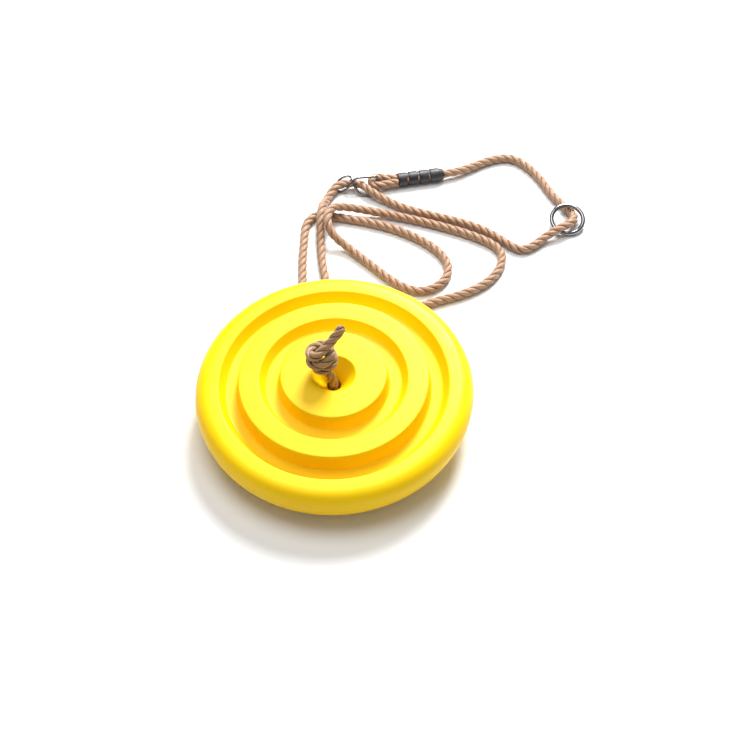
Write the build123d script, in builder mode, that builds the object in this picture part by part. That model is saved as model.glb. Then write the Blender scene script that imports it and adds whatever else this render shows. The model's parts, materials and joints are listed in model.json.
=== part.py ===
"""Disc swing, lying upside down on the floor with its rope thrown behind it.

Units are millimetres. +Z is up, +Y points away from the person facing the seat, and +X is to
their right. The origin is on the floor under the centre of the seat. The seat's back edge lies
on its own rope, so the seat leans a few degrees towards the front left.
"""
import os
from math import cos, pi, radians, sin, tan

from build123d import *

os.makedirs("parts", exist_ok=True)

# ---------------------------------------------------------------- seat, blow moulded
SEAT_RADIUS = 140.0
SEAT_WALL = 3.0
RIM_ROUND = 15.4            # round at the top of the outer edge
BELLY_ROUND = 31.0          # round from the outer edge down to the sitting face
BELLY_CENTRE_RADIUS = 109.0
BELLY_CENTRE_DROP = 19.0    # below the rim's top
HUB_RISE = 13.0             # hub face above the rim's top
RING_RISE = 7.0             # middle ring's face above the rim's top
DISH_RISE = 8.0             # hollow of the sitting face at the centre
DISH_HALF_WAY_RISE = 0.75 * DISH_RISE
HOLE_RADIUS = 7.0
RECESS_RADIUS = 22.2
RECESS_DEPTH = 19.5
HOLE_STRAIGHT = 3.0         # straight bore under the recess
MOUTH_ROUND = 6.0           # rounded lower mouth of the hole, where the rope bends
LEAN = 3.0                  # degrees that the seat leans
LEAN_HIGH_SIDE = 19.0       # degrees from +Y towards +X of the seat's high side

# radius, height over the rim's top, corner round
UPPER_PROFILE = [
    (HOLE_RADIUS, HUB_RISE - RECESS_DEPTH - HOLE_STRAIGHT, 0),
    (HOLE_RADIUS, HUB_RISE - RECESS_DEPTH, 1.5),
    (RECESS_RADIUS, HUB_RISE, 2.0),
    (52.9, HUB_RISE, 1.8),
    (55.9, -3.9, 2.0),
    (68.1, -3.6, 2.0),
    (74.1, RING_RISE, 1.8),
    (94.9, RING_RISE, 1.8),
    (97.3, -12.2, 2.2),
    (108.9, -11.4, 2.2),
    (115.3, 0, 2.2),
    (SEAT_RADIUS - RIM_ROUND, 0, 0),
]

# ---------------------------------------------------------------- rope, three strands
ROPE_RADIUS = 5.0
ROPE_ON_FLOOR = ROPE_RADIUS

# ---------------------------------------------------------------- steel and plastic fittings
RING_WIRE_RADIUS = 2.5
RING_RADIUS = 18.0
RING_CENTRE = (265.5, 265.0, 8.6)
RING_TILT = 17.0            # degrees that the ring's far side is propped up by the rope
ADJUSTER_WIRE_RADIUS = 1.5
CLAMP_RADIUS = 8.0
CLAMP_LEFT = (75.5, 334.6, CLAMP_RADIUS)
CLAMP_RIGHT = (128.3, 343.4, CLAMP_RADIUS)
CLAMP_NECK_RADIUS = 7.0
CLAMP_BORE_RADIUS = 6.2
CLAMP_NOSE_RADIUS = 6.0     # at the nose's tip
CLAMP_NOSE_FLAT = 9.0       # straight part of the nose
CLAMP_NOSE_STOP = 4.0       # end wall of the nose, bored for a single rope
CLAMP_RIBS = 3
CLAMP_RIB_LENGTH = 10.2
CLAMP_GAP = 2.4
CLAMP_EDGE = 0.8            # round of the ribs' edges
CLAMP_NECK_EDGE = 0.1       # round at the foot of the ribs
CLAMP_NOSE_EDGE = 8.0       # round between the nose's straight part and its taper
CLAMP_SLOT_LENGTH = 1.8
CLAMP_SLOT_WIDTH = 7.0
SLOT_DIRECTION = (0.1, -0.75, 0.65)
SQUEEZED_RADIUS = 6.1       # both lengths of rope pressed together in the clamp

# ---------------------------------------------------------------- stopper knot
KNOT_CENTRE = (-11.6, 2.2, 90.0)
KNOT_HALF_LENGTH = 18.0
# radius and height of the lower half's outline, from the knot's foot up
KNOT_OUTLINE = [(6.0, -18.0), (13.0, -13.0), (17.2, -6.0)]
KNOT_CORNER_ROUND = 4.0
KNOT_FOOT_HEIGHT = 51.0     # where the rope leaves the hole's axis, leaning to the knot
STUB_HEIGHT = 45.0          # where the knot's length of rope starts, down in the hole
TAIL_ROUTE = [(-8.5, 1.0, 98.0), (-5.5, 3.0, 106.5), (2.5, 7.0, 114.5), (10.4, 12.0, 123.5)]

# ---------------------------------------------------------------- seat placing
lean = radians(LEAN)
high = radians(LEAN_HIGH_SIDE)
seat_up = Vector(-sin(lean) * sin(high), -sin(lean) * cos(high), cos(lean))
belly_height = BELLY_ROUND + BELLY_CENTRE_RADIUS * sin(lean)
edge_height = belly_height + (BELLY_CENTRE_DROP - RIM_ROUND) * cos(lean)
edge_centre = Vector(0, 0, edge_height)
rim_top = edge_centre + seat_up * RIM_ROUND
seat_across = Vector(0, 1, 0).cross(seat_up).normalized()
section = Plane(origin=rim_top, x_dir=seat_across, z_dir=seat_across.cross(seat_up))
seat_axis = Axis(rim_top, seat_up)


def on_seat_axis(height):
    """Point of the seat's axis at a height over the floor."""
    return edge_centre + seat_up * ((height - edge_height) / seat_up.Z)


# ---------------------------------------------------------------- route of the rope
# One continuous rope, from the hole to the clamp, as named stretches of hand-set points.
STRETCHES = [
    ("rope_in_hole", [on_seat_axis(STUB_HEIGHT), on_seat_axis(ROPE_ON_FLOOR)]),
    ("rope_under_seat", [(15, 27, 5), (49, 79, 5), (77, 131, 5), (104, 146, 5)]),
    ("rope_outer_sweep", [(144, 158, 5), (171, 175, 5), (187, 200, 5), (188, 222, 5), (170, 239, 5)]),
    ("rope_long_run", [(132, 258, 5), (85, 275, 5), (45, 285, 7), (15, 287.5, 13)]),
    ("rope_crossing_bend", [(-3.5, 279.5, 20.5), (-8, 257, 23.5), (-1, 241, 15)]),
    ("rope_inner_loop", [(15, 231, 6), (40, 205, 5), (66, 176, 5), (89, 162, 5), (110, 166, 5),
                         (126, 184, 5), (127, 208, 5), (109, 233, 5)]),
    ("rope_second_run", [(76, 256, 5), (41, 270, 5), (5, 279, 5), (-19, 284, 5), (-32, 270, 5)]),
    ("rope_left_run", [(-33, 243, 5), (-35, 210, 5), (-34, 176, 5)]),
    ("rope_behind_seat", [(-38, 147, 5), (-36, 116, 5), (-19, 98, 5), (-2, 112, 5), (-1, 146, 5)]),
    ("rope_right_run", [(-9, 180, 5), (-13.5, 214, 5), (-14.5, 243, 7)]),
    ("rope_crossing_hump", [(-14.5, 262, 15), (-13, 285, 17)]),
    ("rope_to_adjuster", [(-8.5, 303, 7), (-4, 314, 6.5)]),
    ("rope_in_adjuster", [(5, 327.5, 9.3), (21, 332, 7.3), (33.5, 328.5, 8.2), (40, 318, 9.8)]),
    ("rope_middle_run", [(56, 307, 6), (82, 290, 5), (121, 276, 5), (151, 265, 5), (174, 252, 5)]),
    ("rope_to_ring", [(193, 234, 5), (208, 221.5, 5), (222, 226, 5), (238, 240, 6.5)]),
    ("rope_in_ring", [(254, 247.6, 12), (269, 256, 11.6), (275.5, 270, 7), (267, 286, 5)]),
    ("rope_far_sweep", [(252, 309, 5), (243, 333, 5), (229, 357, 5), (210, 373, 5), (185, 369, 5)]),
    ("rope_to_clamp", [(162, 356, 6), (143, 345.85, 8)]),
]
ROPE_END = CLAMP_RIGHT

# The rope's end loops round the adjuster's right-hand end and back into the clamp.
EYE_ROUTE = [
    (74.58, 338.3, 8), (65.7, 336.82, 8), (45, 341, 8.7),
    (45, 323.4, 8.5), (66.95, 329.32, 8), (75.83, 330.8, 8),
]
EYE_FOLD = 2                # corner before the middle of the fold

# Bent wire adjuster, once round its figure of eight.
ADJUSTER_ROUTE = [
    (3.2, 332, 1.7), (5, 341.5, 1.8), (14, 342, 8.5), (21.5, 334, 15.5), (24.5, 323, 12), (29, 318.5, 3.5),
    (36, 316.5, 1.6), (49, 316.6, 1.6), (54, 332.6, 1.6), (53.6, 332.6, 16.8), (37, 330.5, 17.3),
    (25, 328, 18.7), (19.5, 322.3, 11.5), (12.5, 322.5, 1.7), (4.5, 324.5, 1.7),
]
ADJUSTER_SPLIT = 8          # corner before the middle of the wire


def distance(a, b):
    return (Vector(*b) - Vector(*a)).length


def middle(a, b):
    return (Vector(*a) + Vector(*b)) * 0.5


def arc_radius(before, corner, after):
    """Largest tangent arc that takes 0.45 of the shorter run beside a corner."""
    run_in = Vector(*corner) - Vector(*before)
    run_out = Vector(*after) - Vector(*corner)
    half_turn = radians(run_in.get_angle(run_out)) / 2
    return 0.45 * min(run_in.length, run_out.length) / tan(half_turn)


def save(piece, name):
    piece.part.label = name
    export_step(piece.part, f"parts/{name}.step")


def corner_radii(route):
    return [arc_radius(*route[i - 1:i + 2]) for i in range(1, len(route) - 1)]


def smooth_length(route, radii, first, last):
    """Length of the stretch's straight runs and arcs, between the middles of its end runs."""
    length = sum(distance(route[i], route[i + 1]) for i in range(first, last))
    length += distance(route[first - 1], route[first]) * (1 if first == 1 else 0.5)
    length += distance(route[last], route[last + 1]) * (1 if last == len(route) - 2 else 0.5)
    for i in range(first, last + 1):
        run_in = Vector(*route[i]) - Vector(*route[i - 1])
        run_out = Vector(*route[i + 1]) - Vector(*route[i])
        turn = radians(run_in.get_angle(run_out))
        length += radii[i - 1] * (turn - 2 * tan(turn / 2))
    return length


def stretch_tube(route, radii, first, last, tube_radius):
    """Tube round corners first to last of a route, from the middle of a run to the middle of a run."""
    start = route[0] if first == 1 else middle(route[first - 1], route[first])
    end = route[-1] if last == len(route) - 2 else middle(route[last], route[last + 1])
    path = [start] + route[first:last + 1] + [end]
    with BuildPart() as tube:
        with BuildLine() as line:
            FilletPolyline(*path, radius=radii[first - 1:last])
        with BuildSketch(Plane(origin=line.line @ 0, z_dir=line.line % 0)):
            Circle(tube_radius)
        sweep()
    return tube.part


# ================================================================ seat
with BuildPart() as seat:
    with BuildSketch(section):
        with BuildLine():
            FilletPolyline(*[(r, z) for r, z, _ in UPPER_PROFILE],
                           radius=[corner for _, _, corner in UPPER_PROFILE[1:-1]])
            CenterArc((SEAT_RADIUS - RIM_ROUND, -RIM_ROUND), RIM_ROUND, 0, 90)
            Line((SEAT_RADIUS, -RIM_ROUND), (SEAT_RADIUS, -BELLY_CENTRE_DROP))
            CenterArc((BELLY_CENTRE_RADIUS, -BELLY_CENTRE_DROP), BELLY_ROUND, -90, 90)
            bottom = -BELLY_CENTRE_DROP - BELLY_ROUND
            mouth = bottom + DISH_RISE
            half_way = (BELLY_CENTRE_RADIUS + HOLE_RADIUS) / 2
            ThreePointArc((BELLY_CENTRE_RADIUS, bottom), (half_way, bottom + DISH_HALF_WAY_RISE),
                          (HOLE_RADIUS, mouth))
            Line((HOLE_RADIUS, mouth), UPPER_PROFILE[0][:2])
        make_face()
        mouth_point = section.from_local_coords(Vector(HOLE_RADIUS, mouth, 0))
        mouth_corner = min(vertices(),
                           key=lambda v: (section.from_local_coords(Vector(v)) - mouth_point).length)
        fillet(mouth_corner, MOUTH_ROUND)
        offset(amount=-SEAT_WALL, kind=Kind.INTERSECTION, mode=Mode.SUBTRACT)
    revolve(axis=seat_axis)
save(seat, "seat")

# ================================================================ rope, stretch by stretch
rope_route = [point for _, points in STRETCHES for point in points] + [ROPE_END]
rope_radii = corner_radii(rope_route)
print("rope corner radii:", [round(r, 1) for r in rope_radii])
rope_length = 0
last_corner = 0
for name, points in STRETCHES:
    first_corner = max(last_corner, 1)
    last_corner += len(points)
    corners = (first_corner, last_corner - 1)
    with BuildPart() as stretch:
        add(stretch_tube(rope_route, rope_radii, *corners, ROPE_RADIUS))
    save(stretch, name)
    length = smooth_length(rope_route, rope_radii, *corners)
    rope_length += length
    ratio = stretch.part.volume / (pi * ROPE_RADIUS**2 * length)
    print(f"{name}: {length:.1f} mm, volume over section times length {ratio:.4f}")
print(f"rope from the hole to the clamp: {rope_length:.0f} mm")

# ================================================================ eye of the rope at the adjuster
eye_radii = corner_radii(EYE_ROUTE)
eye_length = smooth_length(EYE_ROUTE, eye_radii, 1, len(EYE_ROUTE) - 2)
print(f"eye: {eye_length:.0f} mm, corner radii", [round(r, 1) for r in eye_radii])
with BuildPart() as rope_eye:
    add(stretch_tube(EYE_ROUTE, eye_radii, 1, EYE_FOLD, ROPE_RADIUS))
    add(stretch_tube(EYE_ROUTE, eye_radii, EYE_FOLD + 1, len(EYE_ROUTE) - 2, ROPE_RADIUS))
save(rope_eye, "rope_eye")

# ================================================================ stopper knot and its tail
knot_foot = on_seat_axis(KNOT_FOOT_HEIGHT)
knot_up = (Vector(*KNOT_CENTRE) - knot_foot).normalized()
knot_bottom = Vector(*KNOT_CENTRE) - knot_up * KNOT_HALF_LENGTH
neck_route = [on_seat_axis(STUB_HEIGHT), knot_foot, knot_bottom]
with BuildPart() as rope_at_recess:
    add(stretch_tube(neck_route, corner_radii(neck_route), 1, 1, ROPE_RADIUS))
save(rope_at_recess, "rope_at_recess")

knot_across = Vector(0, 1, 0).cross(knot_up).normalized()
knot_section = Plane(origin=KNOT_CENTRE, x_dir=knot_across, z_dir=knot_across.cross(knot_up))
with BuildPart() as stopper_knot:
    with BuildSketch(knot_section):
        with BuildLine():
            upper_outline = [(r, -z) for r, z in reversed(KNOT_OUTLINE)]
            FilletPolyline(*KNOT_OUTLINE, *upper_outline, radius=KNOT_CORNER_ROUND)
            Polyline(upper_outline[-1], (0, KNOT_HALF_LENGTH), (0, -KNOT_HALF_LENGTH), KNOT_OUTLINE[0])
        make_face()
    revolve(axis=Axis(KNOT_CENTRE, knot_up))
    add(stretch_tube(TAIL_ROUTE, corner_radii(TAIL_ROUTE), 1, len(TAIL_ROUTE) - 2, ROPE_RADIUS))
save(stopper_knot, "stopper_knot")

# ================================================================ steel ring
tilt = radians(RING_TILT)
ring_up = Vector(0, -sin(tilt), cos(tilt))
ring_plane = Plane(origin=RING_CENTRE, x_dir=(1, 0, 0), z_dir=(0, -cos(tilt), -sin(tilt)))
with BuildPart() as steel_ring:
    with BuildSketch(ring_plane):
        with Locations((RING_RADIUS, 0)):
            Circle(RING_WIRE_RADIUS)
    revolve(axis=Axis(RING_CENTRE, ring_up))
save(steel_ring, "steel_ring")

# ================================================================ wire adjuster
weld = middle(ADJUSTER_ROUTE[-1], ADJUSTER_ROUTE[0])
loop = [weld] + ADJUSTER_ROUTE + [weld]
loop_radii = corner_radii(loop)
print("adjuster bend radii:", [round(r, 1) for r in loop_radii])
with BuildPart() as wire_adjuster:
    add(stretch_tube(loop, loop_radii, 1, ADJUSTER_SPLIT, ADJUSTER_WIRE_RADIUS))
    add(stretch_tube(loop, loop_radii, ADJUSTER_SPLIT + 1, len(loop) - 2, ADJUSTER_WIRE_RADIUS))
save(wire_adjuster, "wire_adjuster")

# ================================================================ moulded clamp, slotted over the rope
clamp_axis = Vector(*CLAMP_RIGHT) - Vector(*CLAMP_LEFT)
clamp_length = clamp_axis.length
clamp_side = clamp_axis.cross(Vector(0, 0, 1)).normalized()
clamp_section = Plane(origin=CLAMP_LEFT, x_dir=clamp_axis, z_dir=clamp_side)
clamp_line = Axis(CLAMP_LEFT, clamp_axis)
rib_pitch = CLAMP_RIB_LENGTH + CLAMP_GAP
nose_start = CLAMP_RIBS * rib_pitch
outline, outline_radii = [], []
for rib in range(CLAMP_RIBS):
    x = rib * rib_pitch
    outline += [(x, CLAMP_RADIUS), (x + CLAMP_RIB_LENGTH, CLAMP_RADIUS),
                (x + CLAMP_RIB_LENGTH, CLAMP_NECK_RADIUS), (x + rib_pitch, CLAMP_NECK_RADIUS)]
    outline_radii += [CLAMP_EDGE, CLAMP_EDGE, CLAMP_NECK_EDGE, CLAMP_NECK_EDGE]
outline += [(nose_start, CLAMP_RADIUS), (nose_start + CLAMP_NOSE_FLAT, CLAMP_RADIUS),
            (clamp_length, CLAMP_NOSE_RADIUS)]
outline_radii += [CLAMP_EDGE, CLAMP_NOSE_EDGE]
with BuildPart() as rope_clamp:
    with BuildSketch(clamp_section):
        with BuildLine():
            FilletPolyline((0, CLAMP_BORE_RADIUS), *outline, radius=outline_radii)
            Polyline((clamp_length, CLAMP_NOSE_RADIUS), (clamp_length, ROPE_RADIUS),
                     (clamp_length - CLAMP_NOSE_STOP, ROPE_RADIUS),
                     (clamp_length - CLAMP_NOSE_STOP, CLAMP_BORE_RADIUS), (0, CLAMP_BORE_RADIUS))
        make_face()
    revolve(axis=clamp_line)
    slot_plane = Plane(origin=CLAMP_LEFT, x_dir=clamp_axis, z_dir=SLOT_DIRECTION)
    for rib in range(CLAMP_RIBS):
        with BuildSketch(slot_plane):
            with Locations(((rib + 1) * rib_pitch - CLAMP_GAP / 2, 0)):
                Rectangle(CLAMP_SLOT_LENGTH, CLAMP_SLOT_WIDTH)
        extrude(amount=CLAMP_RADIUS, mode=Mode.SUBTRACT)
save(rope_clamp, "rope_clamp")

with BuildPart() as rope_in_clamp:
    with BuildSketch(clamp_section):
        with BuildLine():
            Polyline((0, 0), (0, SQUEEZED_RADIUS), (clamp_length - CLAMP_NOSE_STOP, SQUEEZED_RADIUS),
                     (clamp_length - CLAMP_NOSE_STOP, ROPE_RADIUS), (clamp_length, ROPE_RADIUS),
                     (clamp_length, 0), (0, 0))
        make_face()
    revolve(axis=clamp_line)
save(rope_in_clamp, "rope_in_clamp")
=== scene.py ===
"""Disc swing lying upside down on the floor, with its rope thrown behind it.

Laid out as an add-on: the properties hold the sizes and colours, one operator makes each piece
or group of pieces, and main() calls them in order. Units are metres, in the frame of the CAD.
"""
import json
from math import radians

import bpy
import numpy as np
from bpy.props import FloatProperty, FloatVectorProperty, PointerProperty
from mathutils import Matrix, Vector


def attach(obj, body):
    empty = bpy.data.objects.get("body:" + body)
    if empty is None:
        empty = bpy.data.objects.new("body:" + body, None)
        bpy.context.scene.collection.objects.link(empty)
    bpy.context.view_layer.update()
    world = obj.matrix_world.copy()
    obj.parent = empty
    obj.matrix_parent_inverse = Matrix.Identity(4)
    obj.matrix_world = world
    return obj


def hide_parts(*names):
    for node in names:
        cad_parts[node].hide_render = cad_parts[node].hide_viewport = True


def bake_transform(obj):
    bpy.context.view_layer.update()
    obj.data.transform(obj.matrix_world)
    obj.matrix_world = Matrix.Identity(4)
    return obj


bl_info = {
    "name": "Disc swing",
    "version": (1, 0, 0),
    "blender": (4, 5, 0),
    "location": "3D View > Sidebar > Disc swing",
    "description": "Makes the visible pieces of a disc swing: seat, rope, knot, ring, adjuster and clamp",
    "category": "Object",
}

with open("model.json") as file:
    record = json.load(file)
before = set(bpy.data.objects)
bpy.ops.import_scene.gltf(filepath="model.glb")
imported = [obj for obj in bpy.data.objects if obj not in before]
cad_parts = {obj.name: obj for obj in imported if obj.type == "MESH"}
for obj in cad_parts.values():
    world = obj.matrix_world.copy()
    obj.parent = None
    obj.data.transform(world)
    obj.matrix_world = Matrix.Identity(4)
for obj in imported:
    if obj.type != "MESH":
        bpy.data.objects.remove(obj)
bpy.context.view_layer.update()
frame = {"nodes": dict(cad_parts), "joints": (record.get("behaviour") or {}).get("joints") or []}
MM = 0.001
JOINTS = {joint["name"]: joint for joint in frame["joints"]}

# ------------------------------------------------------------------ seat, radius and height in mm
SEAT_AXIS = np.array(JOINTS["seat_spin"]["axis"])
EDGE_CENTRE = np.array(JOINTS["seat_spin"]["pos_m"])
RIM_ROUND = 15.4
RIM_TOP = EDGE_CENTRE + SEAT_AXIS * RIM_ROUND * MM
# radius, height over the rim's top, corner round
SEAT_SECTION = [
    (7.0, -6.5, 1.5), (22.2, 13.0, 2.0), (52.9, 13.0, 1.8), (55.9, -3.9, 2.0), (68.1, -3.6, 2.0),
    (74.1, 7.0, 1.8), (94.9, 7.0, 1.8), (97.3, -12.2, 2.2), (108.9, -11.4, 2.2), (115.3, 0.0, 2.2),
    (140.0, 0.0, RIM_ROUND), (140.0, -50.0, 31.0), (58.0, -44.0, 60.0), (7.0, -42.0, 5.0),
]

# ------------------------------------------------------------------ rope, points in mm
HOLE_START = (EDGE_CENTRE + SEAT_AXIS * (0.045 - EDGE_CENTRE[2]) / SEAT_AXIS[2]) / MM
HOLE_FLOOR = (EDGE_CENTRE + SEAT_AXIS * (0.005 - EDGE_CENTRE[2]) / SEAT_AXIS[2]) / MM
ROPE_ROUTE = [
    tuple(HOLE_START), tuple(HOLE_FLOOR), (15, 27, 5), (49, 79, 5), (77, 131, 5), (104, 146, 5),
    (144, 158, 5), (171, 175, 5), (187, 200, 5), (188, 222, 5), (170, 239, 5),
    (132, 258, 5), (85, 275, 5), (45, 285, 7), (15, 287.5, 13), (-3.5, 279.5, 20.5), (-8, 257, 23.5),
    (-1, 241, 15), (15, 231, 6), (40, 205, 5), (66, 176, 5), (89, 162, 5), (110, 166, 5),
    (126, 184, 5), (127, 208, 5), (109, 233, 5), (76, 256, 5), (41, 270, 5), (5, 279, 5),
    (-19, 284, 5), (-32, 270, 5), (-33, 243, 5), (-35, 210, 5), (-34, 176, 5),
    (-38, 147, 5), (-36, 116, 5), (-19, 98, 5), (-2, 112, 5), (-1, 146, 5), (-9, 180, 5),
    (-13.5, 214, 5), (-14.5, 243, 7), (-14.5, 262, 15), (-13, 285, 17), (-8.5, 303, 7), (-4, 314, 6.5),
    (5, 327.5, 9.3), (21, 332, 7.3), (33.5, 328.5, 8.2), (40, 318, 9.8), (56, 307, 6), (82, 290, 5),
    (121, 276, 5), (151, 265, 5), (174, 252, 5), (193, 234, 5), (208, 221.5, 5), (222, 226, 5),
    (238, 240, 6.5), (254, 247.6, 12), (269, 256, 11.6), (275.5, 270, 7), (267, 286, 5),
    (252, 309, 5), (243, 333, 5), (229, 357, 5), (210, 373, 5), (185, 369, 5), (162, 356, 6),
    (143, 345.85, 8), (128.3, 343.4, 8),
]
EYE_ROUTE = [
    (74.58, 338.3, 8), (65.7, 336.82, 8), (45, 341, 8.7),
    (45, 323.4, 8.5), (66.95, 329.32, 8), (75.83, 330.8, 8),
]
KNOT_FOOT = HOLE_START + SEAT_AXIS * 6.0 / SEAT_AXIS[2]
KNOT_CENTRE = np.array([-11.6, 2.2, 90.0])
KNOT_HALF_LENGTH = 18.0
KNOT_TURNS = 2.25
KNOT_PITCH = 9.8
KNOT_BULGE_RADIUS = 12.0    # of the middle turn's centreline
KNOT_END_RADIUS = 8.5       # of the first and last turn's
KNOT_LAST_ANGLE = -90.0     # degrees round the knot at which the tail leaves
POINTS_A_TURN = 12
TAIL_ROUTE = [(-5.5, 3.0, 106.5), (2.5, 7.0, 114.5), (10.4, 12.0, 123.5)]

# ------------------------------------------------------------------ spacing of the rope's rings, in metres
ROPE_SPACING = 0.0016
TIGHT_ROPE_SPACING = 0.0014
WIRE_SPACING = 0.0007
TAIL_FUSED = 0.003          # length over which the tail's strands close

# ------------------------------------------------------------------ fittings, in mm
RING_CENTRE = np.array(JOINTS["ring_spin"]["pos_m"])
RING_AXIS = np.array(JOINTS["ring_spin"]["axis"])
RING_RADIUS = 18.0
ADJUSTER_ROUTE = [
    (3.2, 332, 1.7), (5, 341.5, 1.8), (14, 342, 8.5), (21.5, 334, 15.5), (24.5, 323, 12), (29, 318.5, 3.5),
    (36, 316.5, 1.6), (49, 316.6, 1.6), (54, 332.6, 1.6), (53.6, 332.6, 16.8), (37, 330.5, 17.3),
    (25, 328, 18.7), (19.5, 322.3, 11.5), (12.5, 322.5, 1.7), (4.5, 324.5, 1.7),
]

# ------------------------------------------------------------------ points round each section
SEAT_COLUMNS = 256
SEAT_SPACING = 3.0          # mm between the points of the seat's section
RING_COLUMNS = 120
RING_SECTION_POINTS = 28
WIRE_COLUMNS = 16

# ------------------------------------------------------------------ rope fibre
YARNS_A_METRE = 713.0
YARNS_ROUND_A_STRAND = 16.0
WORN_TINT = np.array([0.92, 0.92, 0.72])    # of the knotted end, against the rope

# ------------------------------------------------------------------ stage, in metres and degrees
LIGHT_TARGET = Vector((0.05, 0.1, 0.0))
# name, place, diameter, watts
LIGHTS = [("softbox_back", (0.55, 1.7, 1.6), 1.1, 110.0), ("softbox_top", (-0.2, 0.4, 2.3), 1.6, 30.0)]
ROOM_BRIGHTNESS = 0.3
CAMERA_PLACE = (0.0206, -0.9346, 1.2254)
CAMERA_TILT = 38.81         # up from straight down
CAMERA_TURN = -1.24
CAMERA_ROLL = -0.17


# ------------------------------------------------------------------ shapes
def mesh_of_grids(name, grids, wrap_rows=False, row_places=None):
    """One mesh from grids of points. Each grid's rows close on themselves, and row i joins row i + 1.

    A face's corners are (i, j), (i + 1, j), (i + 1, j + 1), (i, j + 1). Open grids get a face at each
    end. The map holds the row's place along the piece and the column's share of the way round.
    """
    vertices, faces, places = [], [], []
    start = 0
    for grid in grids:
        rows, columns = grid.shape[:2]
        row, column = np.meshgrid(np.arange(rows if wrap_rows else rows - 1), np.arange(columns),
                                  indexing="ij")
        next_row, next_column = (row + 1) % rows, (column + 1) % columns
        quads = np.stack([row * columns + column, next_row * columns + column,
                          next_row * columns + next_column, row * columns + next_column], axis=-1)
        quads = quads.reshape(-1, 4)
        along = np.arange(rows + 1) / rows if row_places is None else np.append(row_places, row_places[-1])
        corner_rows = np.stack([row, row + 1, row + 1, row], axis=-1).reshape(-1, 4)
        corner_columns = np.stack([column, column, column + 1, column + 1], axis=-1).reshape(-1, 4)
        corner_map = np.stack([along[corner_rows], corner_columns / columns], axis=-1)
        points = grid.reshape(-1, 3)
        a, b, c, d = (points[quads[:, k]] for k in range(4))
        volume = np.sum(a * np.cross(b, c)) + np.sum(a * np.cross(c, d))
        ends = [] if wrap_rows else [np.arange(columns), np.arange(columns)[::-1] + (rows - 1) * columns]
        end_maps = [np.stack([np.full(columns, along[0 if k == 0 else rows - 1]),
                              end % columns / columns], axis=-1) for k, end in enumerate(ends)]
        if volume < 0:
            quads, corner_map = quads[:, ::-1], corner_map[:, ::-1]
            ends = [end[::-1] for end in ends]
            end_maps = [end_map[::-1] for end_map in end_maps]
        vertices.append(points)
        faces += (quads + start).tolist() + [(end + start).tolist() for end in ends]
        places.append(corner_map.reshape(-1, 2))
        places += end_maps
        start += len(points)
    mesh = bpy.data.meshes.new(name)
    mesh.from_pydata(np.concatenate(vertices), [], faces)
    mesh.uv_layers.new(name="along_and_round").data.foreach_set("uv", np.concatenate(places).ravel())
    mesh.polygons.foreach_set("use_smooth", np.ones(len(mesh.polygons), bool))
    mesh.update()
    return mesh


def knot_route():
    """Points of the knotted end: the neck, the turns wound round the knot's leaning axis, and the tail.

    The turns climb evenly. Their radius falls from the middle turn to the ends with the square of the
    height from the knot's centre.
    """
    up = (KNOT_CENTRE - KNOT_FOOT) / np.linalg.norm(KNOT_CENTRE - KNOT_FOOT)
    across = np.cross([0.0, 1.0, 0.0], up)
    across /= np.linalg.norm(across)
    deep = np.cross(up, across)
    share = np.linspace(-1.0, 1.0, int(POINTS_A_TURN * KNOT_TURNS) + 1)[:, None]
    angle = np.radians(KNOT_LAST_ANGLE) + (share - 1.0) * np.pi * KNOT_TURNS
    radius = KNOT_BULGE_RADIUS - (KNOT_BULGE_RADIUS - KNOT_END_RADIUS) * share ** 2
    height = share * KNOT_PITCH * KNOT_TURNS / 2
    turns = KNOT_CENTRE + radius * (np.cos(angle) * across + np.sin(angle) * deep) + height * up
    neck_top = KNOT_CENTRE - up * KNOT_HALF_LENGTH
    return [tuple(HOLE_START), tuple(KNOT_FOOT), tuple(neck_top)] + turns.tolist() + TAIL_ROUTE


def piece_of(mesh, material, body):
    """Object of a mesh, in the scene, with its material, slot and, if one is named, its body."""
    piece = bpy.data.objects.new(mesh.name, mesh)
    bpy.context.scene.collection.objects.link(piece)
    mesh.materials.append(material)
    if body:
        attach(piece, body)
    return piece


def spline_points(route, spacing):
    """Points at an even spacing along the quadratic spline that has the route as its control points."""
    curve = bpy.data.curves.new("route", "CURVE")
    curve.dimensions = "3D"
    spline = curve.splines.new("NURBS")
    spline.points.add(len(route) - 1)
    spline.points.foreach_set("co", np.column_stack([np.array(route) * MM, np.ones(len(route))]).ravel())
    spline.order_u = 3
    spline.use_endpoint_u = True
    curve.resolution_u = 24
    holder = bpy.data.objects.new("route", curve)
    line = bpy.data.meshes.new_from_object(holder)
    points = np.empty(3 * len(line.vertices))
    line.vertices.foreach_get("co", points)
    points = points.reshape(-1, 3)
    bpy.data.meshes.remove(line)
    bpy.data.objects.remove(holder)
    bpy.data.curves.remove(curve)
    places = np.append(0, np.cumsum(np.linalg.norm(np.diff(points, axis=0), axis=1)))
    even = np.linspace(0, places[-1], int(round(places[-1] / spacing)) + 1)
    return np.column_stack([np.interp(even, places, points[:, k]) for k in range(3)]), even


def unit(vectors):
    """Vectors over their lengths."""
    return vectors / np.linalg.norm(vectors, axis=-1, keepdims=True)


def crosswise(path):
    """Tangents of a path, and two crosswise directions that turn no more than the path does.

    Each crosswise direction is the one before it, less its part along the new tangent.
    """
    tangent = unit(np.gradient(path, axis=0))
    side = np.empty_like(path)
    side[0] = unit(np.cross(tangent[0], (0.3, 1.0, 0.1)))
    for i in range(1, len(path)):
        side[i] = unit(side[i - 1] - tangent[i] * (side[i - 1] @ tangent[i]))
    return tangent, side, np.cross(tangent, side)


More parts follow.
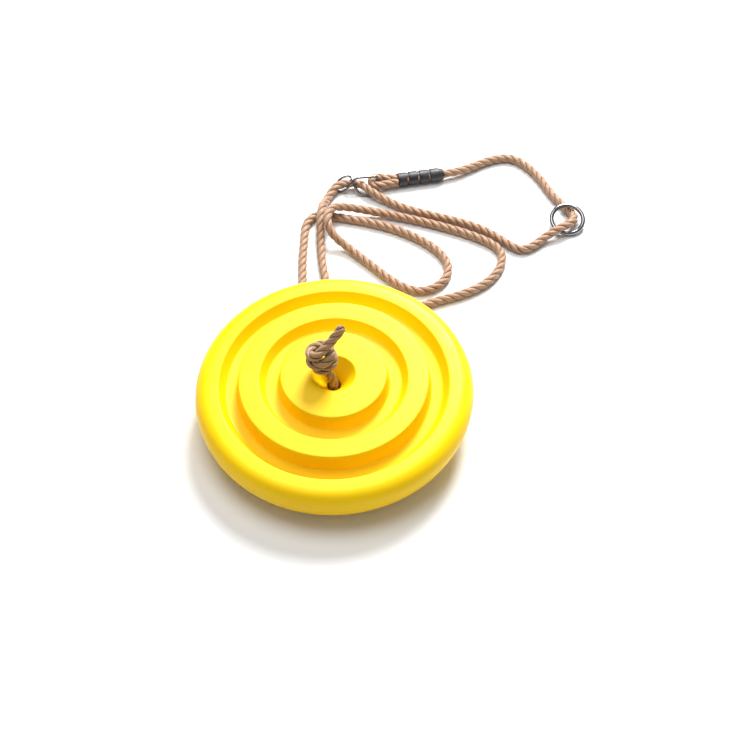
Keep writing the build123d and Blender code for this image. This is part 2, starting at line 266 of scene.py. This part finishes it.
def round_tube(path, radius, columns):
    """Grid of a round tube: path + radius * (cos a * side + sin a * over)."""
    _, side, over = crosswise(path)
    angle = np.linspace(0, 2 * np.pi, columns, endpoint=False)[None, :, None]
    return path[:, None] + radius * (np.cos(angle) * side[:, None] + np.sin(angle) * over[:, None])


def strand_tubes(path, places, diameter, lay, columns=14, fused=0.0):
    """Three strands laid right-handed round a path.

    Strand k's centre is path + offset * (cos t * side + sin t * over), with t = 2 pi (place / lay + k / 3).
    Its section is an oval, wider across than out. Over the fused length the sections close to domes.
    """
    _, side, over = crosswise(path)
    offset, outward, across = 0.25 * diameter, 0.25 * diameter, 0.285 * diameter
    shrink = np.ones(len(path))
    if fused:
        left = np.clip((places[-1] - places) / fused, 0, 1)
        shrink = np.sqrt(np.clip(1 - (1 - left) ** 2, 0.002, 1))
    angle = np.linspace(0, 2 * np.pi, columns, endpoint=False)[None, :, None]
    tubes = []
    for k in range(3):
        turn = (2 * np.pi * (places / lay + k / 3))[:, None]
        out = np.cos(turn) * side + np.sin(turn) * over
        centre = path + offset * out
        way = unit(np.gradient(centre, axis=0))
        sideways = unit(np.cross(way, out))
        size = shrink[:, None, None]
        tubes.append(centre[:, None] + size * (outward * np.cos(angle) * out[:, None]
                                               + across * np.sin(angle) * sideways[:, None]))
    return tubes


def rounded_section(corners, steps=8):
    """Closed section with each corner replaced by an arc that touches both of its sides.

    The arc of radius r at half angle h starts r / tan h from the corner, and its centre lies on the
    line that halves the corner.
    """
    points = np.array([corner[:2] for corner in corners])
    before, after = np.roll(points, 1, axis=0) - points, np.roll(points, -1, axis=0) - points
    before, after = unit(before), unit(after)
    half = 0.5 * np.arccos(np.clip(np.sum(before * after, axis=1), -1, 1))
    radius = np.array([corner[2] for corner in corners])
    inward = unit(before + after)
    centre = points + inward * (radius / np.sin(half))[:, None]
    start = points + before * (radius / np.tan(half))[:, None] - centre
    sweep = np.pi - 2 * half
    sweep *= np.sign(before[:, 0] * after[:, 1] - before[:, 1] * after[:, 0])
    turn = -sweep[:, None] * np.linspace(0, 1, steps)[None, :]
    x = start[:, :1] * np.cos(turn) + start[:, 1:] * -np.sin(turn)
    y = start[:, :1] * np.sin(turn) + start[:, 1:] * np.cos(turn)
    return np.stack([centre[:, :1] + x, centre[:, 1:] + y], axis=-1).reshape(-1, 2)


def finer(section, spacing):
    """Closed section with its long sides cut so that no two points are further apart than the spacing."""
    closed = np.vstack([section, section[:1]])
    lengths = np.linalg.norm(np.diff(closed, axis=0), axis=1)
    counts = np.maximum(1, np.ceil(lengths / spacing)).astype(int)
    starts = np.append(0, np.cumsum(lengths))
    step = np.concatenate([np.arange(count) / count for count in counts])
    which = np.repeat(np.arange(len(counts)), counts)
    place = starts[which] + step * lengths[which]
    return np.column_stack([np.interp(place, starts, closed[:, k]) for k in range(2)])


def turned(section, centre, axis, columns):
    """Grid of a section turned round an axis.

    A point is centre + radius * (cos a * side + sin a * over) + height * axis.
    """
    side = unit(np.cross((0.0, 1.0, 0.0), axis))
    over = np.cross(axis, side)
    angle = np.linspace(0, 2 * np.pi, columns, endpoint=False)[None, :, None]
    radius, height = section[:, 0][:, None, None], section[:, 1][:, None, None]
    return centre + radius * (np.cos(angle) * side + np.sin(angle) * over) + height * axis


# ------------------------------------------------------------------ finishes
def finish(name, colour, roughness, metallic=0.0, specular=0.5):
    """New material with its shader's own sockets set.

    Returns the material, its nodes, a linker and the shader.
    """
    material = bpy.data.materials.new(name)
    material.use_nodes = True
    tree = material.node_tree
    shader = tree.nodes["Principled BSDF"]
    shader.inputs["Base Color"].default_value = (*colour, 1)
    shader.inputs["Roughness"].default_value = roughness
    shader.inputs["Metallic"].default_value = metallic
    shader.inputs["Specular IOR Level"].default_value = specular
    return material, tree.nodes, tree.links.new, shader


def noise(nodes, link, coordinates, scale, detail=3.0):
    """Noise pattern on the given coordinates."""
    node = nodes.new("ShaderNodeTexNoise")
    node.inputs["Scale"].default_value = scale
    node.inputs["Detail"].default_value = detail
    link(coordinates, node.inputs["Vector"])
    return node.outputs["Fac"]


def sums(nodes, link, operation, first, second):
    """Math node. Each input is a socket or a number."""
    node = nodes.new("ShaderNodeMath")
    node.operation = operation
    for slot, value in zip(node.inputs, (first, second)):
        if isinstance(value, (int, float)):
            slot.default_value = value
        else:
            link(value, slot)
    return node.outputs[0]


def ramp(nodes, link, factor, stops):
    """Colours along a factor. A stop is its place and its colour or its grey."""
    node = nodes.new("ShaderNodeValToRGB")
    while len(node.color_ramp.elements) < len(stops):
        node.color_ramp.elements.new(0.5)
    for element, (place, colour) in zip(node.color_ramp.elements, stops):
        element.position = place
        element.color = (*colour, 1) if isinstance(colour, (tuple, list)) else (colour, colour, colour, 1)
    link(factor, node.inputs["Fac"])
    return node.outputs["Color"]


def bump(nodes, link, height, strength, distance, shader, below=None):
    """Bump from a height, passed to the shader, over another bump if there is one."""
    node = nodes.new("ShaderNodeBump")
    node.inputs["Strength"].default_value = strength
    node.inputs["Distance"].default_value = distance
    link(height, node.inputs["Height"])
    if below is not None:
        link(below, node.inputs["Normal"])
    link(node.outputs["Normal"], shader.inputs["Normal"])
    return node.outputs["Normal"]


def moulded_yellow(colour):
    """Smooth blow-moulded plastic: slow colour drift, a fine grain, and hazier patches."""
    material, nodes, link, shader = finish("moulded_yellow", colour, 0.4, specular=0.2)
    place = nodes.new("ShaderNodeTexCoord").outputs["Object"]
    drift = noise(nodes, link, place, 9.0, 2.0)
    light, deep = colour, (colour[0] * 0.97, colour[1] * 0.93, colour[2])
    link(ramp(nodes, link, drift, [(0.35, deep), (0.65, light)]), shader.inputs["Base Color"])
    haze = noise(nodes, link, place, 35.0, 4.0)
    link(ramp(nodes, link, haze, [(0.3, 0.34), (0.7, 0.46)]), shader.inputs["Roughness"])
    wavy = bump(nodes, link, noise(nodes, link, place, 45.0, 1.0), 0.12, 0.0006, shader)
    bump(nodes, link, noise(nodes, link, place, 1500.0, 2.0), 0.1, 0.0001, shader, wavy)
    return material


def laid_fibre(name, colour, sunk_yarn_shade):
    """Twisted rope fibre: fine yarns along each strand, with painted shade where they sink, a few loose
    light ones, and painted shade on each strand's side that faces into the rope.

    The map's first number is the place along in metres and the second the share of the way round.
    """
    material, nodes, link, shader = finish(name, colour, 0.42, specular=0.5)
    shader.inputs["Sheen Weight"].default_value = 0.25
    shader.inputs["Sheen Roughness"].default_value = 0.4
    uv = nodes.new("ShaderNodeUVMap")
    uv.uv_map = "along_and_round"
    split = nodes.new("ShaderNodeSeparateXYZ")
    link(uv.outputs["UV"], split.inputs["Vector"])
    along, share = split.outputs["X"], split.outputs["Y"]
    wander = noise(nodes, link, nodes.new("ShaderNodeTexCoord").outputs["Object"], 260.0, 2.0)
    yarn = sums(nodes, link, "ADD", sums(nodes, link, "MULTIPLY", along, YARNS_A_METRE),
                sums(nodes, link, "MULTIPLY", share, YARNS_ROUND_A_STRAND))
    yarn = sums(nodes, link, "ADD", yarn, sums(nodes, link, "MULTIPLY", wander, 0.9))
    wave = sums(nodes, link, "SINE", sums(nodes, link, "MULTIPLY", yarn, 2 * np.pi), 0.0)
    height = sums(nodes, link, "MULTIPLY_ADD", wave, 0.5)
    fibres = nodes.new("ShaderNodeCombineXYZ")
    link(sums(nodes, link, "MULTIPLY", along, 260.0), fibres.inputs["X"])
    link(sums(nodes, link, "MULTIPLY", yarn, 2.6), fibres.inputs["Y"])
    hair = noise(nodes, link, fibres.outputs["Vector"], 1.6, 4.0)
    tone = sums(nodes, link, "ADD", sums(nodes, link, "MULTIPLY", wave, 0.16), hair)
    mid = tuple(0.55 * a + 0.45 * b for a, b in zip(colour, sunk_yarn_shade))
    light = tuple(min(1.0, a * 1.22) for a in colour)
    # the lowest stop is painted shade where the yarns sink, mixed with the fibre's random tone
    yarns = ramp(nodes, link, tone, [(0.25, sunk_yarn_shade), (0.42, mid), (0.56, colour), (0.78, light)])
    # painted shade: each strand's colour falls to 0.12 on the side that faces into the rope, where the gaps
    # between the strands are in shade
    outward = sums(nodes, link, "COSINE", sums(nodes, link, "MULTIPLY", share, 2 * np.pi), 0.0)
    shade = nodes.new("ShaderNodeMix")
    shade.data_type = "RGBA"
    shade.blend_type = "MULTIPLY"
    shade.inputs["Factor"].default_value = 1.0
    link(yarns, shade.inputs["A"])
    link(ramp(nodes, link, outward, [(0.0, 0.12), (0.12, 0.4), (0.35, 1.0)]), shade.inputs["B"])
    link(shade.outputs["Result"], shader.inputs["Base Color"])
    coarse = bump(nodes, link, height, 0.35, 0.0004, shader)
    bump(nodes, link, hair, 0.4, 0.0004, shader, coarse)
    return material


def pressed_fibre_painted_glints(colour, sunk_yarn_shade):
    """Rope fibre pressed flat inside the clamp: short streaks of fibre tone, with painted glints on the
    light ones and painted shade on the sunk yarns.
    """
    material, nodes, link, shader = finish("pressed_fibre_painted_glints", colour, 0.55, specular=0.4)
    place = nodes.new("ShaderNodeTexCoord").outputs["Object"]
    streaks = noise(nodes, link, place, 700.0, 3.0)
    # painted highlight: the light streaks, 1.5 times the fibre's colour, stand in for glints; the lowest
    # stop is painted shade of sunk yarns
    light = tuple(min(1.0, c * 1.5) for c in colour)
    link(ramp(nodes, link, streaks, [(0.3, sunk_yarn_shade), (0.5, colour), (0.7, light)]), shader.inputs["Base Color"])
    bump(nodes, link, streaks, 0.5, 0.0004, shader)
    return material


def polished_steel(name, colour, roughness):
    """Bright steel with faint draw lines and a few duller patches."""
    material, nodes, link, shader = finish(name, colour, roughness, metallic=1.0)
    place = nodes.new("ShaderNodeTexCoord").outputs["Object"]
    dull = noise(nodes, link, place, 160.0, 3.0)
    patches = ramp(nodes, link, dull, [(0.35, roughness * 0.7), (0.75, roughness * 1.7)])
    link(patches, shader.inputs["Roughness"])
    bump(nodes, link, noise(nodes, link, place, 900.0, 2.0), 0.08, 0.0002, shader)
    return material


def moulded_charcoal(colour):
    """Satin moulded plastic with a fine spark-eroded grain and rubbed, paler patches."""
    material, nodes, link, shader = finish("moulded_charcoal", colour, 0.45, specular=0.5)
    place = nodes.new("ShaderNodeTexCoord").outputs["Object"]
    rubbed = noise(nodes, link, place, 120.0, 3.0)
    pale = tuple(c * 1.6 + 0.01 for c in colour)
    link(ramp(nodes, link, rubbed, [(0.4, colour), (0.8, pale)]), shader.inputs["Base Color"])
    link(ramp(nodes, link, rubbed, [(0.3, 0.38), (0.7, 0.55)]), shader.inputs["Roughness"])
    bump(nodes, link, noise(nodes, link, place, 2200.0, 2.0), 0.25, 0.0002, shader)
    return material


def studio_white():
    """Plain pale floor."""
    material, _, _, _ = finish("studio_white", (0.86, 0.86, 0.86), 0.8, specular=0.1)
    return material


# ------------------------------------------------------------------ settings
class SwingSizes(bpy.types.PropertyGroup):
    rope: FloatProperty(name="Rope", description="Diameter of the rope", default=0.010, unit="LENGTH")
    lay: FloatProperty(name="Lay", description="Length along the rope in which a strand goes once round",
                       default=0.0305, unit="LENGTH")
    ring_wire: FloatProperty(name="Ring wire", description="Diameter of the ring's wire", default=0.005,
                             unit="LENGTH")
    adjuster_wire: FloatProperty(name="Adjuster wire", description="Diameter of the adjuster's wire",
                                 default=0.003, unit="LENGTH")


class SwingColours(bpy.types.PropertyGroup):
    seat: FloatVectorProperty(name="Seat", description="Colour of the moulded seat", subtype="COLOR",
                              default=(0.95, 0.62, 0.002))
    rope: FloatVectorProperty(name="Rope", description="Colour of the rope's fibre", subtype="COLOR",
                              default=(0.43, 0.25, 0.145))
    # painted shade: the deep brown of the rope's gaps and sunk yarns, painted into the fibre's colour
    rope_sunk_shade: FloatVectorProperty(name="Rope, sunk yarns", description="Colour between the yarns",
                                   subtype="COLOR", default=(0.12, 0.05, 0.02))
    steel: FloatVectorProperty(name="Steel", description="Colour of the ring and the adjuster",
                               subtype="COLOR", default=(0.24, 0.24, 0.245))
    clamp: FloatVectorProperty(name="Clamp", description="Colour of the clamp", subtype="COLOR",
                               default=(0.014, 0.0135, 0.018))


# ------------------------------------------------------------------ pieces
class SWING_OT_seat(bpy.types.Operator):
    """Make the moulded disc seat"""
    bl_idname = "swing.make_seat"
    bl_label = "Seat"

    def execute(self, context):
        colours = context.scene.swing_colours
        section = finer(rounded_section(SEAT_SECTION), SEAT_SPACING)
        grid = turned(section * MM, RIM_TOP, SEAT_AXIS, SEAT_COLUMNS)
        mesh = mesh_of_grids("disc_seat", [grid], wrap_rows=True)
        seat = piece_of(mesh, moulded_yellow(tuple(colours.seat)), "seat")
        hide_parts("seat")
        return {"FINISHED"}


class SWING_OT_rope(bpy.types.Operator):
    """Make the rope from the hole to the clamp, and the eye that its end makes at the adjuster"""
    bl_idname = "swing.make_rope"
    bl_label = "Rope"

    def execute(self, context):
        sizes, colours = context.scene.swing_sizes, context.scene.swing_colours
        fibre = laid_fibre("laid_fibre", tuple(colours.rope), tuple(colours.rope_sunk_shade))
        path, places = spline_points(ROPE_ROUTE, ROPE_SPACING)
        mesh = mesh_of_grids("rope", strand_tubes(path, places, sizes.rope, sizes.lay), row_places=places)
        rope = piece_of(mesh, fibre, "rope")
        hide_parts(*[node for node in frame["nodes"] if node.startswith("rope_") and node not in
                            ("rope_eye", "rope_in_clamp", "rope_at_recess", "rope_clamp")])

        eye_path, eye_places = spline_points(EYE_ROUTE, TIGHT_ROPE_SPACING)
        eye_mesh = mesh_of_grids("eye_of_rope", strand_tubes(eye_path, eye_places, sizes.rope, sizes.lay),
                                 row_places=eye_places)
        eye = piece_of(eye_mesh, fibre, "rope")
        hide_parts("rope_eye")
        return {"FINISHED"}


class SWING_OT_knot(bpy.types.Operator):
    """Make the stopper knot with the length of rope under it and its tail"""
    bl_idname = "swing.make_knot"
    bl_label = "Knot"

    def execute(self, context):
        sizes, colours = context.scene.swing_sizes, context.scene.swing_colours
        worn = laid_fibre("worn_fibre", tuple(WORN_TINT * colours.rope), tuple(colours.rope_sunk_shade))
        route = knot_route()
        path, places = spline_points(route, TIGHT_ROPE_SPACING)
        strands = strand_tubes(path, places, sizes.rope, sizes.lay, fused=TAIL_FUSED)
        mesh = mesh_of_grids("knotted_end", strands, row_places=places)
        knot = piece_of(mesh, worn, None)
        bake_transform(knot)
        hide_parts("stopper_knot", "rope_at_recess")
        return {"FINISHED"}


class SWING_OT_ring(bpy.types.Operator):
    """Make the hanging ring"""
    bl_idname = "swing.make_ring"
    bl_label = "Ring"

    def execute(self, context):
        sizes, colours = context.scene.swing_sizes, context.scene.swing_colours
        angle = np.linspace(0, 2 * np.pi, RING_SECTION_POINTS, endpoint=False)
        wire = sizes.ring_wire / 2
        section = np.column_stack([RING_RADIUS * MM + wire * np.cos(angle), wire * np.sin(angle)])
        grid = turned(section, RING_CENTRE, RING_AXIS, RING_COLUMNS)
        mesh = mesh_of_grids("hanging_ring", [grid], wrap_rows=True)
        ring = piece_of(mesh, polished_steel("polished_ring", tuple(colours.steel), 0.12), "ring")
        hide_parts("steel_ring")
        return {"FINISHED"}


class SWING_OT_adjuster(bpy.types.Operator):
    """Make the wire adjuster, bent to a figure of eight"""
    bl_idname = "swing.make_adjuster"
    bl_label = "Adjuster"

    def execute(self, context):
        sizes, colours = context.scene.swing_sizes, context.scene.swing_colours
        weld = (0.5 * (np.array(ADJUSTER_ROUTE[0]) + np.array(ADJUSTER_ROUTE[-1]))).tolist()
        path, places = spline_points([weld] + ADJUSTER_ROUTE + [weld], WIRE_SPACING)
        grid = round_tube(path, sizes.adjuster_wire / 2, WIRE_COLUMNS)
        mesh = mesh_of_grids("wire_adjuster_loops", [grid], row_places=places)
        wire = piece_of(mesh, polished_steel("polished_wire", tuple(colours.steel), 0.15), "rope")
        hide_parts("wire_adjuster")
        return {"FINISHED"}


class SWING_OT_clamp(bpy.types.Operator):
    """Give the ribbed clamp that holds the rope's end to the rope, and the rope pressed inside it, their
    finishes
    """
    bl_idname = "swing.make_clamp"
    bl_label = "Clamp"

    def execute(self, context):
        colours = context.scene.swing_colours
        clamp = frame["nodes"]["rope_clamp"]
        clamp.data.materials.clear()
        clamp.data.materials.append(moulded_charcoal(tuple(colours.clamp)))
        core = frame["nodes"]["rope_in_clamp"]
        core.data.materials.clear()
        core.data.materials.append(pressed_fibre_painted_glints(tuple(colours.rope), tuple(colours.rope_sunk_shade)))
        return {"FINISHED"}


class SWING_OT_stage(bpy.types.Operator):
    """Make the floor, the lights and the camera"""
    bl_idname = "swing.make_stage"
    bl_label = "Stage"

    def execute(self, context):
        scene = context.scene
        floor_mesh = bpy.data.meshes.new("floor")
        floor_mesh.from_pydata([(-4, -4, 0), (4, -4, 0), (4, 4, 0), (-4, 4, 0)], [], [(0, 1, 2, 3)])
        floor = bpy.data.objects.new("floor", floor_mesh)
        floor_mesh.materials.append(studio_white())
        scene.collection.objects.link(floor)
        for name, place, size, power in LIGHTS:
            lamp = bpy.data.lights.new(name, "AREA")
            lamp.shape = "DISK"
            lamp.size = size
            lamp.energy = power
            holder = bpy.data.objects.new(name, lamp)
            aim = (LIGHT_TARGET - Vector(place)).to_track_quat("-Z", "Y")
            holder.matrix_world = Matrix.Translation(place) @ aim.to_matrix().to_4x4()
            scene.collection.objects.link(holder)
        world = bpy.data.worlds.new("pale_room")
        world.use_nodes = True
        world.node_tree.nodes["Background"].inputs["Color"].default_value = (1, 1, 1, 1)
        world.node_tree.nodes["Background"].inputs["Strength"].default_value = ROOM_BRIGHTNESS
        scene.world = world
        scene.view_settings.view_transform = "Standard"

        lens = bpy.data.cameras.new("camera")
        lens.lens = 72.0
        lens.sensor_width = 36.0
        camera = bpy.data.objects.new("camera", lens)
        turn, tilt, roll = (Matrix.Rotation(radians(angle), 4, axis) for angle, axis in
                            ((CAMERA_TURN, "Z"), (CAMERA_TILT, "X"), (CAMERA_ROLL, "Z")))
        camera.matrix_world = Matrix.Translation(CAMERA_PLACE) @ turn @ tilt @ roll
        scene.collection.objects.link(camera)
        scene.camera = camera
        return {"FINISHED"}


MAKERS = [SWING_OT_seat, SWING_OT_ring, SWING_OT_adjuster, SWING_OT_clamp, SWING_OT_rope, SWING_OT_knot,
          SWING_OT_stage]


class SWING_PT_panel(bpy.types.Panel):
    """The swing's settings and pieces"""
    bl_label = "Disc swing"
    bl_space_type = "VIEW_3D"
    bl_region_type = "UI"
    bl_category = "Disc swing"

    def draw(self, context):
        for settings in (context.scene.swing_sizes, context.scene.swing_colours):
            for name in settings.bl_rna.properties.keys():
                if name not in ("rna_type", "name"):
                    self.layout.prop(settings, name)
        for maker in MAKERS:
            self.layout.operator(maker.bl_idname)


CLASSES = [SwingSizes, SwingColours, *MAKERS, SWING_PT_panel]


def register():
    for each in CLASSES:
        bpy.utils.register_class(each)
    bpy.types.Scene.swing_sizes = PointerProperty(type=SwingSizes)
    bpy.types.Scene.swing_colours = PointerProperty(type=SwingColours)


def unregister():
    del bpy.types.Scene.swing_colours
    del bpy.types.Scene.swing_sizes
    for each in reversed(CLASSES):
        bpy.utils.unregister_class(each)


def main():
    register()
    for maker in MAKERS:
        group, name = maker.bl_idname.split(".")
        getattr(getattr(bpy.ops, group), name)()


if __name__ == "__main__":
    main()
